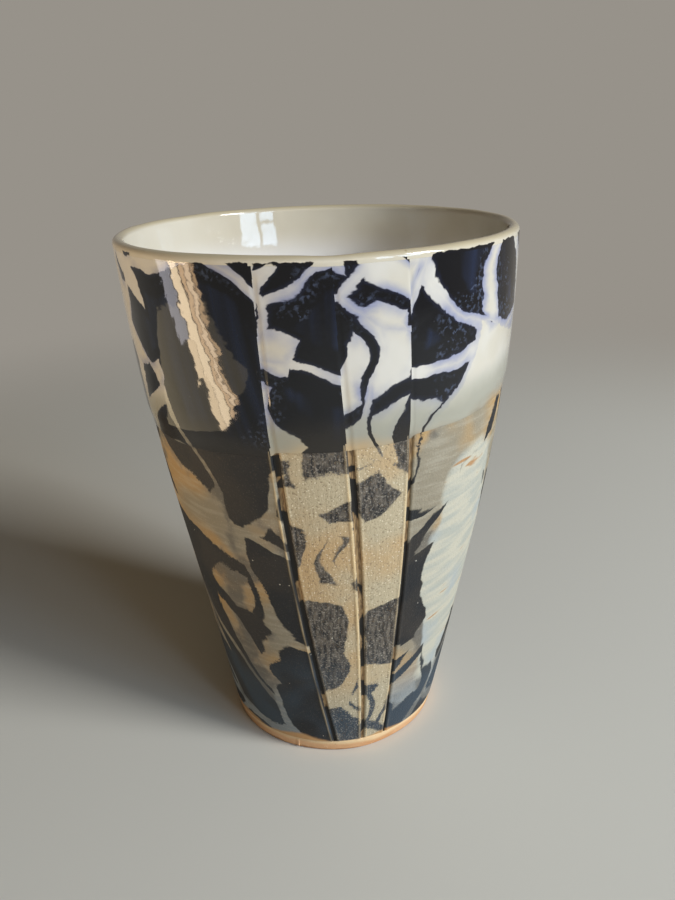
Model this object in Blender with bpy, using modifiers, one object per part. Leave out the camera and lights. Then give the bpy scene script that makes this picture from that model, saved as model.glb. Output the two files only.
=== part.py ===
"""Slab-built stoneware tumbler for coffee, as its separate pieces of clay, slip and glaze.

Metres, +Z up, origin at the centre of the underside. The front faces -Y. An angle is in degrees
round the cup from the front, positive towards +X. A depth is measured inwards from the outer face
of the clay wall.
"""

import math

import bmesh
import bpy
from mathutils import Vector

# Driving sizes: the form
HEIGHT = 0.118  # over the glazed lip
RIM_RADIUS = 0.0411  # outer face of the clay at the rim
FOOT_RADIUS = 0.0254  # outer face of the clay at the foot
CONE_HEIGHT = 0.053  # a straight cone up to here, then the wall bends upright
RIM_FLARE = 0.02  # slope that the wall still leans out with at the rim
SIDE_BOW = 0.0009  # the wrapped wall bows this far to +X at mid height
LIP_DIP = 0.0003  # the lip dips this far where the wrap closes
LIP_DIP_SPREAD = 7.0  # degrees each side of the closing seam

# Driving sizes: clay, slip and glaze
WALL = 0.0024  # rolled slab of the wall
LIP_WALL = 0.0012  # the clay of the lip, pinched thin
LIP_TAPER = 0.020  # the wall thins over this height below the rim
BASE_THICKNESS = 0.0032  # rolled slab of the base
BASE_ROUNDING = 0.0006
JOINT_SLIP = 0.0005  # slip between the base slab and the wall
CORNER_RADIUS = 0.006  # hollow corner that the coil fills, inside at the floor
SEAM_WIDTH = 0.0012
SEAM_RECESS = 0.0004  # the slip in a seam lies this far under the wall's face
SEAM_EDGE = 0.0003  # rounding of the wiped slab edges
GLAZE = 0.0003
GLAZE_EDGE = 0.0001  # rounding of the glaze's edge
DIP_DEPTH = 0.0355  # how deep the rim was dipped in the outside glaze
CLEARANCE = 0.00025  # between neighbouring pieces

# The three joins of the wall: name, angle at the rim, angle at the foot, ease.
# An ease over 1 keeps a seam upright for longer before it swings towards its foot.
SEAMS = (
    ("left", -14.2, 1.5, 3.2),
    ("middle", 4.1, 14.8, 1.2),
    ("right", 22.1, 26.8, 0.7),
)
FULL_TURN = 360.0

# Fineness of the facets
TURN_STEPS = 60
WRAP_COLUMNS = 60
STRIP_COLUMNS = 4
WALL_ROWS = 9
GLAZE_ROWS = 4
LIP_STEPS = 3
LIP_TURN = 80.0  # degrees of the lip's rounding before its small flat top
CORNER_STEPS = 4

# Colours (red, green, blue, linear), roughness
BARE_CLAY = (0.60, 0.30, 0.13), 0.85
BUFF_CLAY = (0.52, 0.38, 0.22), 0.80
DARK_SLIP = (0.035, 0.040, 0.050), 0.55
SEAM_SLIP = (0.16, 0.11, 0.07), 0.80
NAVY_GLAZE = (0.012, 0.020, 0.050), 0.08
CREAM_GLAZE = (0.70, 0.66, 0.52), 0.12

# Worked out from the sizes above
CLAY_TOP = HEIGHT - CLEARANCE - GLAZE
LIP_RADIUS = LIP_WALL / 2
LIP_CENTRE = CLAY_TOP - LIP_RADIUS
WALL_FOOT = BASE_THICKNESS + JOINT_SLIP + 2 * CLEARANCE
GLAZE_MIDDLE = CLEARANCE + GLAZE / 2  # from a clay face to the middle of the glaze on it
GLAZE_LINE = HEIGHT - DIP_DEPTH


def between(start, end, share):
    return start + (end - start) * share


def clay_radius(height):
    """Radius of the wall's outer face: a straight cone, then an even bend to the rim's slope."""
    bend = HEIGHT - CONE_HEIGHT
    slope = (RIM_RADIUS - FOOT_RADIUS - RIM_FLARE * bend / 2) / (HEIGHT - bend / 2)
    above = max(height - CONE_HEIGHT, 0.0)
    return FOOT_RADIUS + slope * height - (slope - RIM_FLARE) * above**2 / (2 * bend)


def wall_thickness(height):
    """Thickness of the clay: even, then thinning smoothly to the lip."""
    share = min(max((height - HEIGHT + LIP_TAPER) / LIP_TAPER, 0.0), 1.0)
    return between(WALL, LIP_WALL, share * share * (3 - 2 * share))


def seam_angle(seam, height):
    _, at_rim, at_foot, ease = seam
    return between(at_rim, at_foot, max(1 - height / HEIGHT, 0.0) ** ease)


def beside_seam(seam, height, reach):
    """Angle of a point that lies this far round the wall from the middle of a seam."""
    return seam_angle(seam, height) + math.degrees(reach / clay_radius(height))


def on_turn(angle, radius, height):
    turn = math.radians(angle)
    return Vector((radius * math.sin(turn), -radius * math.cos(turn), height))


def by_hand(point):
    """Moves a point of the true round form to where the hand-wrapped wall really lies."""
    share = point.z / HEIGHT
    bow = 4 * SIDE_BOW * share * (1 - share)
    off_seam = math.degrees(math.atan2(point.x, -point.y)) - SEAMS[1][1]
    dip = LIP_DIP * math.exp(-((off_seam / LIP_DIP_SPREAD) ** 2)) * max(share, 0.0) ** 4
    return Vector((point.x + bow, point.y, point.z - dip))


def new_material(name, finish):
    colour, roughness = finish
    material = bpy.data.materials.new(name)
    material.use_nodes = True
    shader = material.node_tree.nodes["Principled BSDF"]
    shader.inputs["Base Color"].default_value = (*colour, 1.0)
    shader.inputs["Roughness"].default_value = roughness
    shader.inputs["Metallic"].default_value = 0.0
    return material


def new_piece(name, mesh, finish):
    piece = bpy.data.objects.new(name, mesh)
    mesh.materials.append(new_material(name, finish))
    cup.objects.link(piece)
    piece.parent = stand
    return piece


def add_bevel(piece, width, segments, angle=50.0):
    bevel = piece.modifiers.new("rounded edges", "BEVEL")
    bevel.limit_method = "ANGLE"
    bevel.angle_limit = math.radians(angle)
    bevel.width = width
    bevel.segments = segments


def smooth(mesh, angle=35.0):
    mesh.shade_smooth()
    mesh.set_sharp_from_angle(angle=math.radians(angle))


def settle(piece):
    """Fixes a piece's modifiers in its mesh and bows it with the wall."""
    graph = bpy.context.evaluated_depsgraph_get()
    mesh = bpy.data.meshes.new_from_object(piece.evaluated_get(graph))
    mesh.name = piece.name
    piece.modifiers.clear()
    piece.data = mesh
    for vertex in mesh.vertices:
        vertex.co = by_hand(vertex.co)
    smooth(mesh)


def wall_heights():
    return [between(WALL_FOOT, LIP_CENTRE, step / WALL_ROWS) for step in range(WALL_ROWS + 1)]


def wall_rows(recess=0.0):
    """(height, outer depth, inner depth) from the wall's foot up and over half of the round lip."""
    rows = [(height, recess, wall_thickness(height)) for height in wall_heights()]
    for step in range(1, LIP_STEPS + 1):
        turn = math.radians(LIP_TURN) * step / LIP_STEPS
        inwards = LIP_RADIUS * math.cos(turn)
        outer = max(LIP_RADIUS - inwards, recess)
        rows.append((LIP_CENTRE + LIP_RADIUS * math.sin(turn), outer, LIP_RADIUS + inwards))
    return rows


def wrapped_slab(name, left_edge, right_edge, columns, rows, finish):
    """A flat slab, rolled out as a thin box and then wrapped round the form between two edges."""
    form = bmesh.new()
    bmesh.ops.create_grid(form, x_segments=columns, y_segments=len(rows) - 1, size=1.0)
    lifted = bmesh.ops.extrude_face_region(form, geom=form.faces[:])["geom"]
    inner_face = [part for part in lifted if isinstance(part, bmesh.types.BMVert)]
    bmesh.ops.translate(form, verts=inner_face, vec=(0.0, 0.0, 1.0))
    for vertex in form.verts:
        across = (vertex.co.x + 1) / 2
        height, outer, inner = rows[round((vertex.co.y + 1) / 2 * (len(rows) - 1))]
        depth = inner if vertex.co.z > 0.5 else outer
        angle = between(left_edge(height), right_edge(height), across)
        vertex.co = by_hand(on_turn(angle, clay_radius(height) - depth, height))
    bmesh.ops.recalc_face_normals(form, faces=form.faces[:])
    mesh = bpy.data.meshes.new(name)
    form.to_mesh(mesh)
    form.free()
    smooth(mesh)
    return new_piece(name, mesh, finish)


def turned(name, profile, closed, finish):
    """A profile of (radius, height) points, turned once round the Z axis."""
    form = bmesh.new()
    verts = [form.verts.new((radius, 0.0, height)) for radius, height in profile]
    pairs = zip(verts, verts[1:] + verts[:1] if closed else verts[1:])
    for pair in pairs:
        form.edges.new(pair)
    mesh = bpy.data.meshes.new(name)
    form.to_mesh(mesh)
    form.free()
    piece = new_piece(name, mesh, finish)
    screw = piece.modifiers.new("turn", "SCREW")
    screw.steps = TURN_STEPS
    screw.render_steps = TURN_STEPS
    screw.use_merge_vertices = True
    screw.merge_threshold = 0.00001
    return piece


def turned_skin(name, profile, finish):
    """An even skin of glaze with the profile in its middle."""
    piece = turned(name, profile, False, finish)
    skin = piece.modifiers.new("glaze thickness", "SOLIDIFY")
    skin.thickness = GLAZE
    skin.offset = 0.0
    skin.use_even_offset = True
    add_bevel(piece, GLAZE_EDGE, 1, 60.0)
    settle(piece)


def base_slab():
    """The round slab that the wall stands on. Its edge carries on the slope of the wall."""
    form = bmesh.new()
    bmesh.ops.create_cone(
        form,
        cap_ends=True,
        segments=TURN_STEPS,
        radius1=clay_radius(0.0),
        radius2=clay_radius(BASE_THICKNESS),
        depth=BASE_THICKNESS,
    )
    bmesh.ops.translate(form, verts=form.verts[:], vec=(0.0, 0.0, BASE_THICKNESS / 2))
    mesh = bpy.data.meshes.new("base_slab")
    form.to_mesh(mesh)
    form.free()
    piece = new_piece("base_slab", mesh, BARE_CLAY)
    add_bevel(piece, BASE_ROUNDING, 2)
    settle(piece)


def base_joint_slip():
    """The scored and slipped ring that holds the wall on the base slab."""
    low = BASE_THICKNESS + CLEARANCE
    high = low + JOINT_SLIP
    outer = clay_radius(high) - SEAM_RECESS
    inner = clay_radius(low) - WALL + CLEARANCE
    ring = turned(
        "base_joint_slip", [(inner, high), (outer, high), (outer, low), (inner, low)], True, SEAM_SLIP
    )
    settle(ring)


def corner_point(turn, inwards):
    """A point of the hollow inside corner, at an angle from level and inwards of the coil's face."""
    reach = CORNER_RADIUS - inwards
    height = BASE_THICKNESS + CORNER_RADIUS - reach * math.sin(turn)
    from_wall = CORNER_RADIUS - reach * math.cos(turn)
    return clay_radius(height) - WALL - from_wall, height


def floor_coil():
    """The thin coil pressed into the corner between the wall and the floor."""
    first = math.acos(1 - CLEARANCE / CORNER_RADIUS)
    last = math.pi / 2 - first
    hollow = [
        corner_point(between(first, last, step / CORNER_STEPS), 0.0)
        for step in range(CORNER_STEPS + 1)
    ]
    floor = hollow[-1][1]
    outer = clay_radius(floor) - WALL - CLEARANCE
    coil = turned("floor_coil", [*reversed(hollow), (outer, floor)], True, BUFF_CLAY)
    settle(coil)


def lip_profile():
    """The middle of the glaze over the half-round lip, from the outside to the inside."""
    reach = LIP_RADIUS + GLAZE_MIDDLE
    steps = 2 * LIP_STEPS
    profile = []
    for step in range(steps + 1):
        turn = math.pi * step / steps
        radius = clay_radius(LIP_CENTRE) - LIP_RADIUS + reach * math.cos(turn)
        profile.append((radius, LIP_CENTRE + reach * math.sin(turn)))
    return profile


def liner_glaze():
    """The glaze of the lip, the inside and the floor, in one skin."""
    profile = lip_profile()
    corner_top = BASE_THICKNESS + CORNER_RADIUS
    for height in reversed(wall_heights()[:-1]):
        if height > corner_top + CORNER_RADIUS / 2:
            profile.append((clay_radius(height) - wall_thickness(height) - GLAZE_MIDDLE, height))
    for step in range(CORNER_STEPS + 1):
        turn = math.pi / 2 * step / CORNER_STEPS
        profile.append(corner_point(turn, GLAZE_MIDDLE))
    profile.append((profile[-1][0] / 2, profile[-1][1]))
    profile.append((0.0, profile[-1][1]))
    turned_skin("liner_glaze", profile, CREAM_GLAZE)


def outer_glaze():
    """The glaze of the outside, from under the lip down to the line where the dipping ended."""
    profile = []
    for step in range(GLAZE_ROWS + 1):
        height = between(LIP_CENTRE - CLEARANCE, GLAZE_LINE, step / GLAZE_ROWS)
        profile.append((clay_radius(height) + GLAZE_MIDDLE, height))
    turned_skin("outer_glaze", profile, NAVY_GLAZE)


def wall_panel(name, left_seam, right_seam, columns, finish, turns=0):
    """A slab of the wall between two seams, with the right seam this many turns further round."""
    panel = wrapped_slab(
        name,
        lambda height: beside_seam(left_seam, height, SEAM_WIDTH / 2),
        lambda height: beside_seam(right_seam, height, -SEAM_WIDTH / 2) + FULL_TURN * turns,
        columns,
        wall_rows(),
        finish,
    )
    add_bevel(panel, SEAM_EDGE, 2)


def seam_slip(seam):
    """The slip squeezed up between two slab edges, wiped back a little under their faces."""
    half = SEAM_WIDTH / 2 - CLEARANCE
    wrapped_slab(
        "seam_slip_" + seam[0],
        lambda height: beside_seam(seam, height, -half),
        lambda height: beside_seam(seam, height, half),
        1,
        wall_rows(SEAM_RECESS),
        SEAM_SLIP,
    )


for old in list(bpy.data.objects):
    bpy.data.objects.remove(old)

cup = bpy.data.collections.new("slab_built_coffee_cup")
bpy.context.scene.collection.children.link(cup)
stand = bpy.data.objects.new("cup_origin", None)
cup.objects.link(stand)

LEFT, MIDDLE, RIGHT = SEAMS
base_slab()
base_joint_slip()
floor_coil()
wall_panel("wall_wrap", RIGHT, LEFT, WRAP_COLUMNS, DARK_SLIP, turns=1)
wall_panel("wall_strip_left", LEFT, MIDDLE, STRIP_COLUMNS, BUFF_CLAY)
wall_panel("wall_strip_right", MIDDLE, RIGHT, STRIP_COLUMNS, BUFF_CLAY)
for seam in SEAMS:
    seam_slip(seam)
liner_glaze()
outer_glaze()
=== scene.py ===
# %% [markdown]
# # A slab-built coffee cup
# A potter makes this cup without a wheel. Clay is rolled out flat, decorated with dark slip, cut
# into slabs and wrapped into a tapering wall on a round base slab. The joins are filled with slip.
# After a first firing the rim is dipped in glaze, so the top is glossy and the foot stays bare.
#
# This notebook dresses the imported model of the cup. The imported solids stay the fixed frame, and
# each piece that shows gets a finer mesh in its place, with the wear of the hand that made it.

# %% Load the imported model
import math

import bmesh
import bpy
from mathutils import Matrix, Vector, noise


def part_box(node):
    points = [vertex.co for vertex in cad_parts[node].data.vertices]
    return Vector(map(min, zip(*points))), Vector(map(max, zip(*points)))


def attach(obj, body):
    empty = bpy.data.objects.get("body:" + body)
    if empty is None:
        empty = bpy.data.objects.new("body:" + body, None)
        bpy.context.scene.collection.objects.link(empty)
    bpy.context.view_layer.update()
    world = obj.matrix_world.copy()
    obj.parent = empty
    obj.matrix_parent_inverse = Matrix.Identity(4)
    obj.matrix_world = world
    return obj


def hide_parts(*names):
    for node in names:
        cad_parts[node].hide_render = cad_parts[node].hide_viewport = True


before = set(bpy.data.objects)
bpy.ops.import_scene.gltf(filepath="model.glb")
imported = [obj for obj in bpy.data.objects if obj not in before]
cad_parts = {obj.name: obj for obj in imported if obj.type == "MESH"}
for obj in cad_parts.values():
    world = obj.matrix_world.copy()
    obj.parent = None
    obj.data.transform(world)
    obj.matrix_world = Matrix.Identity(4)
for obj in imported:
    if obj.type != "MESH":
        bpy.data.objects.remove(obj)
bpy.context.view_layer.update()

print("packed pieces:", sorted(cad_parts))

# %% [markdown]
# ## The camera
# The cup was seen from close by and a little above, so that one looks down into it. Such a view
# could be found by eye, but here it is worked out: the ellipse of the rim and the curve of the
# foot give the height, the pitch and the focal length. The lens is wide and the camera near,
# which is why the foot looks so small under the rim.

# %% The camera
MM = 0.001
PICTURE_WIDTH = 675  # pixels
PICTURE_HEIGHT = 900  # pixels
FOCAL_LENGTH = 785  # pixels
SENSOR_HEIGHT = 24.0
CAMERA_PLACE = (2.9 * MM, -169.4 * MM, 137.7 * MM)
CAMERA_PITCH = 22.76  # degrees under the horizon
CAMERA_ROLL = -1.89  # degrees

camera = bpy.data.objects.new("camera", bpy.data.cameras.new("camera"))
camera.data.sensor_fit = "VERTICAL"
camera.data.sensor_height = SENSOR_HEIGHT
camera.data.lens = FOCAL_LENGTH * SENSOR_HEIGHT / PICTURE_HEIGHT
camera.data.clip_start = 5 * MM
camera.matrix_world = (
    Matrix.Translation(CAMERA_PLACE)
    @ Matrix.Rotation(math.radians(90 - CAMERA_PITCH), 4, "X")
    @ Matrix.Rotation(math.radians(CAMERA_ROLL), 4, "Z")
)
bpy.context.scene.collection.objects.link(camera)
bpy.context.scene.camera = camera


def pixel(point):
    """Where the camera sees a point, in pixels from the picture's top left corner."""
    seen = camera.matrix_world.inverted() @ Vector(point)
    across = FOCAL_LENGTH * seen.x / -seen.z
    up = FOCAL_LENGTH * seen.y / -seen.z
    return round(PICTURE_WIDTH / 2 + across, 1), round(PICTURE_HEIGHT / 2 - up, 1)


foot_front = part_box("base_slab")[0].y
print("the front of the foot is seen at", pixel((0, foot_front, 0)))

# %% [markdown]
# ## The form
# The wall is a straight cone at the foot and bends upright towards the rim. One function gives its
# radius at each height, and every piece below asks that function, so that nested pieces fit. The
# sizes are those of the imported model, and the thickness of its base slab is read from it.
#
# Angles go round the cup in degrees, 0 at the front and positive to the right. Depths are measured
# inwards from the clay's outer face.

# %% The form
HEIGHT = 118 * MM
RIM_RADIUS = 41.1 * MM
FOOT_FACE = 25.4 * MM  # radius of the clay at the foot
CONE_HEIGHT = 53 * MM
RIM_FLARE = 0.02  # slope of the wall at the rim
WALL = 2.4 * MM
LIP_WALL = 1.2 * MM
LIP_TAPER = 20 * MM
GLAZE = 0.3 * MM
CLEARANCE = 0.25 * MM
DIP_DEPTH = 35.5 * MM

BASE_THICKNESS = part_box("base_slab")[1].z
LIP_RADIUS = LIP_WALL / 2
LIP_CENTRE = HEIGHT - CLEARANCE - GLAZE - LIP_RADIUS
GLAZE_FACE = CLEARANCE + GLAZE


def between(start, end, share):
    return start + (end - start) * share


def eased(share):
    """0 to 1 with a soft start and end."""
    share = min(max(share, 0.0), 1.0)
    return share * share * (3 - 2 * share)


def clay_radius(height):
    """Radius of the clay's outer face: a cone, then an even bend to the rim's slope."""
    bend = HEIGHT - CONE_HEIGHT
    slope = (RIM_RADIUS - FOOT_FACE - RIM_FLARE * bend / 2) / (HEIGHT - bend / 2)
    above = max(height - CONE_HEIGHT, 0.0)
    return FOOT_FACE + slope * height - (slope - RIM_FLARE) * above**2 / (2 * bend)


def wall_thickness(height):
    return between(WALL, LIP_WALL, eased((height - HEIGHT + LIP_TAPER) / LIP_TAPER))


def on_turn(angle, radius, height):
    """The place at this angle round the cup."""
    turn = math.radians(angle)
    return Vector((radius * math.sin(turn), -radius * math.cos(turn), height))


def angle_of(point):
    return math.degrees(math.atan2(point.x, -point.y))


print("clay radius at the foot and rim, mm:", clay_radius(0) / MM, clay_radius(HEIGHT) / MM)

# %% [markdown]
# ## The seams
# Three joins run up the wall. A straight knife cut on flat clay doesn't stay straight when the
# slab is wrapped: it swings towards the foot. Each seam is given by its angle at the rim, its
# angle at the foot and an ease that says how late it swings. The width is the slip that shows,
# and the wiping finger left more of it higher up. The ridge is the clay pushed up beside it.

# %% The seams
SEAM_WIDENING = (0.8, 1.8)  # shares of the width at the foot and at the rim
SEAMS = {
    "left": {"rim": -14.2, "foot": 1.5, "ease": 3.2, "width": 0.85 * MM, "ridge": 0.3 * MM},
    "middle": {"rim": 4.1, "foot": 14.8, "ease": 1.2, "width": 0.8 * MM, "ridge": 0.34 * MM},
    "right": {"rim": 22.1, "foot": 26.8, "ease": 0.7, "width": 0.5 * MM, "ridge": 0.26 * MM},
}


def seam_angle(seam, height):
    low = max(1 - height / HEIGHT, 0.0)
    return between(SEAMS[seam]["rim"], SEAMS[seam]["foot"], low ** SEAMS[seam]["ease"])


def seam_width(seam, height):
    return SEAMS[seam]["width"] * between(*SEAM_WIDENING, height / HEIGHT)


def round_the_wall(length, height):
    """The angle that a length round the wall takes up at this height."""
    return math.degrees(length / clay_radius(height))


for seam in SEAMS:
    print(seam, "seam: angle at half height", round(seam_angle(seam, HEIGHT / 2), 1))

# %% [markdown]
# ## The hand in the clay
# A wrapped slab is never truly round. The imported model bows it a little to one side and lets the
# lip dip where the wrap closes. Here the same bow is followed, and fingers are added: a swell every
# few centimetres and a finer ripple. The noise only pushes inwards, so the cup keeps its size.
# The push depends on the place alone, so the glaze, clay and slip all move together.

# %% The hand in the clay
SIDE_BOW = 0.9 * MM
LIP_DIP = 0.3 * MM
LIP_DIP_SPREAD = 7.0  # degrees
SWELL = 0.16 * MM
SWELL_LENGTH = 24 * MM
RIPPLE = 0.035 * MM
RIPPLE_LENGTH = 6 * MM
RIM_WAVE = 0.22 * MM
RIM_WAVE_LENGTH = 30 * MM


def bell(distance, spread):
    """1 at no distance, fading to 0 as a bell does."""
    return math.exp(-((distance / spread) ** 2))


def soft_noise(place):
    """Smooth noise from 0 to 1."""
    return 0.5 + 0.5 * noise.noise(place)


def by_hand(point):
    """Moves a point of the true form to where the hand-wrapped wall really lies."""
    share = max(point.z / HEIGHT, 0.0)
    flat = Vector((point.x, point.y, 0.0))
    direction = flat.normalized() if flat.length > 1 * MM else Vector((0.0, 0.0, 0.0))
    push = SWELL * soft_noise(point / SWELL_LENGTH) + RIPPLE * soft_noise(point / RIPPLE_LENGTH)
    bow = 4 * SIDE_BOW * share * (1 - share)
    dip = LIP_DIP * bell(angle_of(point) - SEAMS["middle"]["rim"], LIP_DIP_SPREAD) * share**4
    wave = RIM_WAVE * soft_noise(direction * HEIGHT / RIM_WAVE_LENGTH) * share**6
    moved = point - direction * push
    return Vector((moved.x + bow, moved.y, moved.z - dip - wave))


front_of_lip = on_turn(0, RIM_RADIUS, HEIGHT)
lip_moves = [round(move / MM, 2) for move in by_hand(front_of_lip) - front_of_lip]
print("the hand moves the front of the lip by, mm:", *lip_moves)

# %% [markdown]
# ## Working by hand, in code
# In Blender's window one picks faces with the mouse. Here a small function opens a piece for
# editing and another picks its faces by their place, and after that the operators are the same
# as in the menus. Everything is deselected first, because an operator acts on all that is picked.

# %% Helpers for edit mode
def deselect():
    bpy.ops.object.select_all(action="DESELECT")


def choose(piece):
    """Selects one piece alone and makes it the active one."""
    deselect()
    piece.select_set(True)
    bpy.context.view_layer.objects.active = piece


def edit(piece, kind="FACE"):
    """Opens a piece in edit mode with nothing selected."""
    choose(piece)
    bpy.ops.object.mode_set(mode="EDIT")
    bpy.ops.mesh.select_mode(type=kind)
    bpy.ops.mesh.select_all(action="DESELECT")


def done():
    """Closes edit mode, which writes the changes to the mesh."""
    bpy.ops.object.mode_set(mode="OBJECT")


def pick(piece, wanted, kind="faces"):
    """Selects the faces or edges of the open piece whose middle passes the test."""
    form = bmesh.from_edit_mesh(piece.data)
    count = 0
    for part in getattr(form, kind):
        middle = sum((vertex.co for vertex in part.verts), Vector()) / len(part.verts)
        part.select_set(bool(wanted(middle, part)))
        count += part.select
    bmesh.update_edit_mesh(piece.data)
    return count


def new_piece(name):
    """Names the primitive that was just added and fixes its place in its mesh."""
    piece = bpy.context.view_layer.objects.active
    choose(piece)
    bpy.ops.object.transform_apply(location=True, rotation=True, scale=True)
    piece.name = name
    piece.data.name = name
    return piece


def thicken(piece, thickness):
    """Gives a sheet its thickness, all on the side away from its face."""
    skin = piece.modifiers.new("thickness", "SOLIDIFY")
    skin.thickness = thickness
    skin.offset = -1.0
    choose(piece)
    bpy.ops.object.modifier_apply(modifier=skin.name)


def finish_mesh(piece, sharp=40.0):
    """Turns the faces outwards, shades them smooth and reports the piece."""
    edit(piece)
    bpy.ops.mesh.select_all(action="SELECT")
    bpy.ops.mesh.normals_make_consistent(inside=False)
    done()
    bpy.ops.object.shade_smooth_by_angle(angle=math.radians(sharp))
    triangles = sum(len(face.vertices) - 2 for face in piece.data.polygons)
    print(piece.name, triangles, "triangles")


def shape_by_hand(piece):
    """Moves a whole piece as the hand moved the clay."""
    for vertex in piece.data.vertices:
        vertex.co = by_hand(vertex.co)


# %% [markdown]
# ## The base slab
# The cup stands on a round slab cut from the same rolled clay, and its bare edge shows under the
# wall as a toasted band. A cylinder is the natural start. Its top is widened to the slope of the
# wall, its two rims are bevelled as a wet sponge rounds them, and the underside is inset twice, so
# that the middle lifts off the table by a hair. A knife that slipped left a small upright nick.

# %% The base slab
BASE_SIDES = 240
BASE_ROUNDING = 0.6 * MM
BASE_INSET = 3.0 * MM
BASE_LIFT = 0.12 * MM
NICK_ANGLE = -19.9
NICK_HALF_WIDTH = 0.8  # degrees
NICK_OUT = 0.34 * MM
NICK_TAPER = (0.45, 0.45, 0.9)
KNIFE_WANDER = 0.32 * MM
KNIFE_WANDER_LENGTH = 13 * MM
KNIFE_FROM = 0.8  # share of the radius from which the wander sets in
KNIFE_OVER = 0.18  # and over which it grows


def at_a_rim(middle, edge):
    """The upper and the lower outer edge of the slab."""
    from_a_face = min(middle.z, BASE_THICKNESS - middle.z)
    return middle.xy.length > FOOT_FACE * 0.999 and from_a_face < 0.1 * MM


def at_the_nick(middle, face):
    """The middle half of the outer wall, where the knife slipped."""
    from_nick = abs(angle_of(middle) - NICK_ANGLE)
    return from_nick < NICK_HALF_WIDTH and abs(middle.z - BASE_THICKNESS / 2) < BASE_THICKNESS / 4


deselect()
bpy.ops.mesh.primitive_cylinder_add(
    vertices=BASE_SIDES,
    radius=FOOT_FACE,
    depth=BASE_THICKNESS,
    location=(0, 0, BASE_THICKNESS / 2),
)
base = new_piece("base_slab_clay")
edit(base)
pick(base, lambda middle, face: face.normal.z > 0.9)
widen = clay_radius(BASE_THICKNESS) / FOOT_FACE
bpy.ops.transform.resize(value=(widen, widen, 1), center_override=(0, 0, BASE_THICKNESS))
pick(base, lambda middle, face: abs(face.normal.z) > 0.9)
bpy.ops.mesh.inset(thickness=BASE_ROUNDING)
bpy.ops.mesh.select_mode(type="EDGE")
print("edges of the two rims:", pick(base, at_a_rim, "edges"))
bpy.ops.mesh.bevel(offset=BASE_ROUNDING * 0.8, segments=4, affect="EDGES")
bpy.ops.mesh.select_mode(type="FACE")
pick(base, lambda middle, face: face.normal.z < -0.9 and middle.xy.length < 1 * MM)
bpy.ops.mesh.inset(thickness=BASE_INSET)
bpy.ops.mesh.inset(thickness=BASE_INSET)
bpy.ops.transform.translate(value=(0, 0, BASE_LIFT))

# %% The nick and the knife's wander
pick(base, at_the_nick)
nick_way = on_turn(NICK_ANGLE, NICK_OUT, 0)
bpy.ops.mesh.extrude_region_move(TRANSFORM_OT_translate={"value": nick_way})
nick_middle = on_turn(NICK_ANGLE, FOOT_FACE, BASE_THICKNESS / 2)
bpy.ops.transform.resize(value=NICK_TAPER, center_override=nick_middle + nick_way)
done()
shape_by_hand(base)
for vertex in base.data.vertices:
    share = eased((vertex.co.xy.length - FOOT_FACE * KNIFE_FROM) / (FOOT_FACE * KNIFE_OVER))
    wander = soft_noise(vertex.co / KNIFE_WANDER_LENGTH)
    vertex.co.xy *= 1 - share * KNIFE_WANDER * wander / FOOT_FACE
    vertex.co.z = max(vertex.co.z, 0.0)
finish_mesh(base)

# %% [markdown]
# ## The slabs of the wall
# Three slabs make the wall: one wide slab goes almost all the way round, and two narrow ones fill
# the front. A cone could be turned and cut, but the seams aren't flat cuts, and their edges must
# follow the same lines on both sides. So each slab is made as the potter makes it. A grid is the
# rolled clay, an extrude gives it thickness, and a short function then wraps it round the cup.
# Its columns crowd together at the two edges, where the clay is rounded over and pushed up. A cut
# made by hand also strays a little, and the slip follows the strays of the narrow slabs.

# %% Wrapping a slab
EDGE_STATIONS = [station * MM for station in (0.0, 0.06, 0.15, 0.27, 0.42, 0.6, 0.85, 1.2, 1.7)]
EDGE_ROUNDING = 0.34 * MM
RIDGE_AT = 0.5 * MM
RIDGE_SPREAD = 0.27 * MM
RIDGE_MEAN = 0.75  # the mean share of the full ridge, and how far the share strays from it
RIDGE_CHANGE = 0.6
RIDGE_LENGTH = 9 * MM
EDGE_WANDER = 0.09 * MM
EDGE_WANDER_LENGTH = 7 * MM


def station(column, columns, length):
    """How far along the slab a column stands: crowded at both edges, even between them."""
    near = len(EDGE_STATIONS) - 1
    if column <= near:
        return EDGE_STATIONS[column]
    if column >= columns - near:
        return length - EDGE_STATIONS[columns - column]
    margin = EDGE_STATIONS[near]
    return between(margin, length - margin, (column - near) / (columns - 2 * near))


def rounding(reach):
    """How far a rounded edge has fallen away at this distance from the end of the slab."""
    left = max(EDGE_ROUNDING - reach, 0.0)
    return EDGE_ROUNDING - math.sqrt(EDGE_ROUNDING**2 - left**2)


def raised(reach, height, seed):
    """The ridge that the wiping finger pushed up beside a seam, stronger in some places."""
    change = noise.noise(Vector((height / RIDGE_LENGTH, seed, 0.0)))
    return max(RIDGE_MEAN + RIDGE_CHANGE * change, 0.0) * bell(reach - RIDGE_AT, RIDGE_SPREAD)


def stray(height, seed):
    """How far a hand-cut edge strays to the right at this height."""
    return EDGE_WANDER * noise.noise(Vector((height / EDGE_WANDER_LENGTH, seed, 0.0)))


def sheet(name, columns, rows):
    """A flat sheet, one unit wide and high."""
    deselect()
    bpy.ops.mesh.primitive_grid_add(x_subdivisions=columns, y_subdivisions=rows, size=1)
    return new_piece(name)


def flat_slab(name, columns, rows):
    """A rolled slab, one unit thick under its face."""
    slab = sheet(name, columns, rows)
    edit(slab)
    bpy.ops.mesh.select_all(action="SELECT")
    bpy.ops.mesh.extrude_region_move(TRANSFORM_OT_translate={"value": (0, 0, -1)})
    done()
    return slab


def shares(vertex, columns):
    """The column of a point of a flat slab, its share of the height and of the thickness."""
    return round((vertex.co.x + 0.5) * columns), vertex.co.y + 0.5, -vertex.co.z


def wrap(slab, columns, place):
    """Carries each point of a flat slab to the place on the cup that its shares give."""
    for vertex in slab.data.vertices:
        vertex.co = by_hand(place(*shares(vertex, columns)))


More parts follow.
